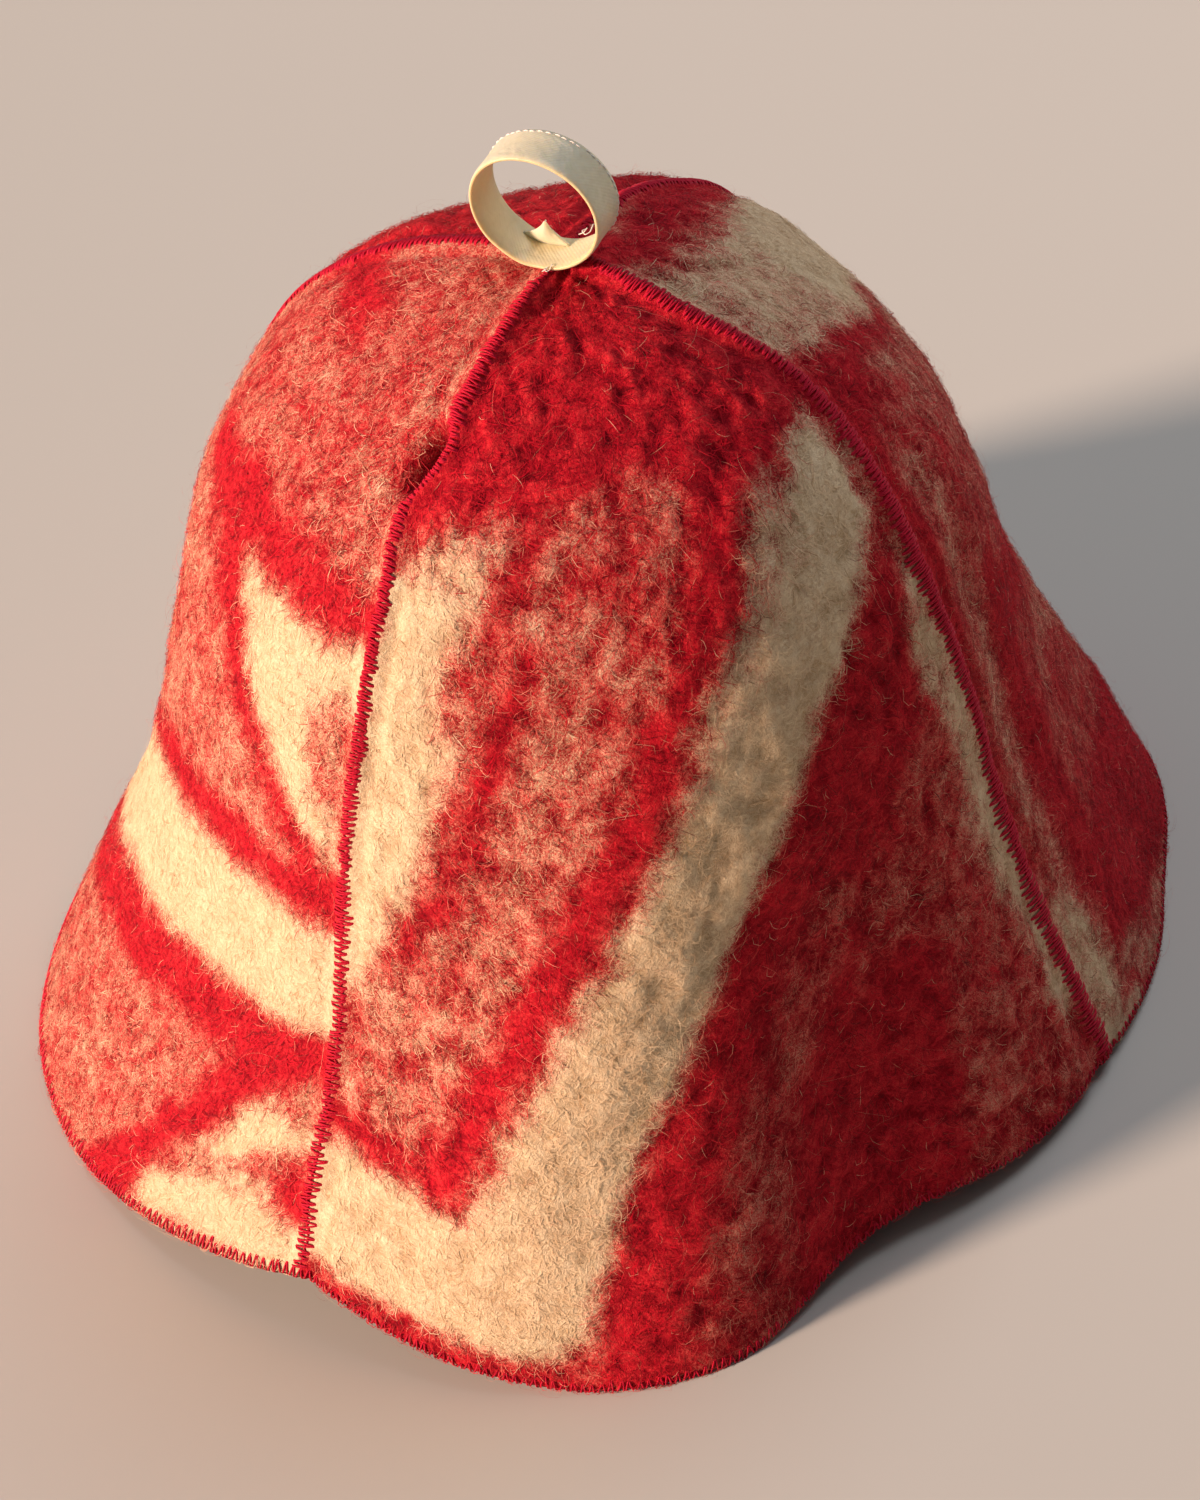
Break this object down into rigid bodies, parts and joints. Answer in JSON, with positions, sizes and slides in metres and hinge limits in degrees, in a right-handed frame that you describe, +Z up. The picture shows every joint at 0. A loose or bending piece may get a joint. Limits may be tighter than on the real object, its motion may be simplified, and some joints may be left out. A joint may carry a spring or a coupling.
{
  "type": "sauna hat",
  "caption": "Bell-shaped sauna hat sewn from four gores of thick brushed wool blanket, with a wavy hem and a ribbon hanging loop.",
  "frame": {"origin": "middle of the hat's own box in plan, on the plane that the hem rests on", "axes": "+Z up through the crown, -Y towards the middle of the front gore, +X towards the middle of the right gore"},
  "size_m": [0.3022, 0.2976, 0.2611],
  "materials": {
    "wool_blanket": "thick brushed and fulled blanket wool in red, cream and a marl of the two, in soft-edged diagonal bands",
    "satin_tape": "ivory satin bias tape, folded double and topstitched",
    "seam_thread": "raspberry polyester sewing thread in dense zigzag"
  },
  "bodies": {
    "root": {"gore_front": "wool_blanket", "gore_right": "wool_blanket", "gore_back": "wool_blanket", "gore_left": "wool_blanket", "hanging_loop": "satin_tape"}
  },
  "joints": []
}
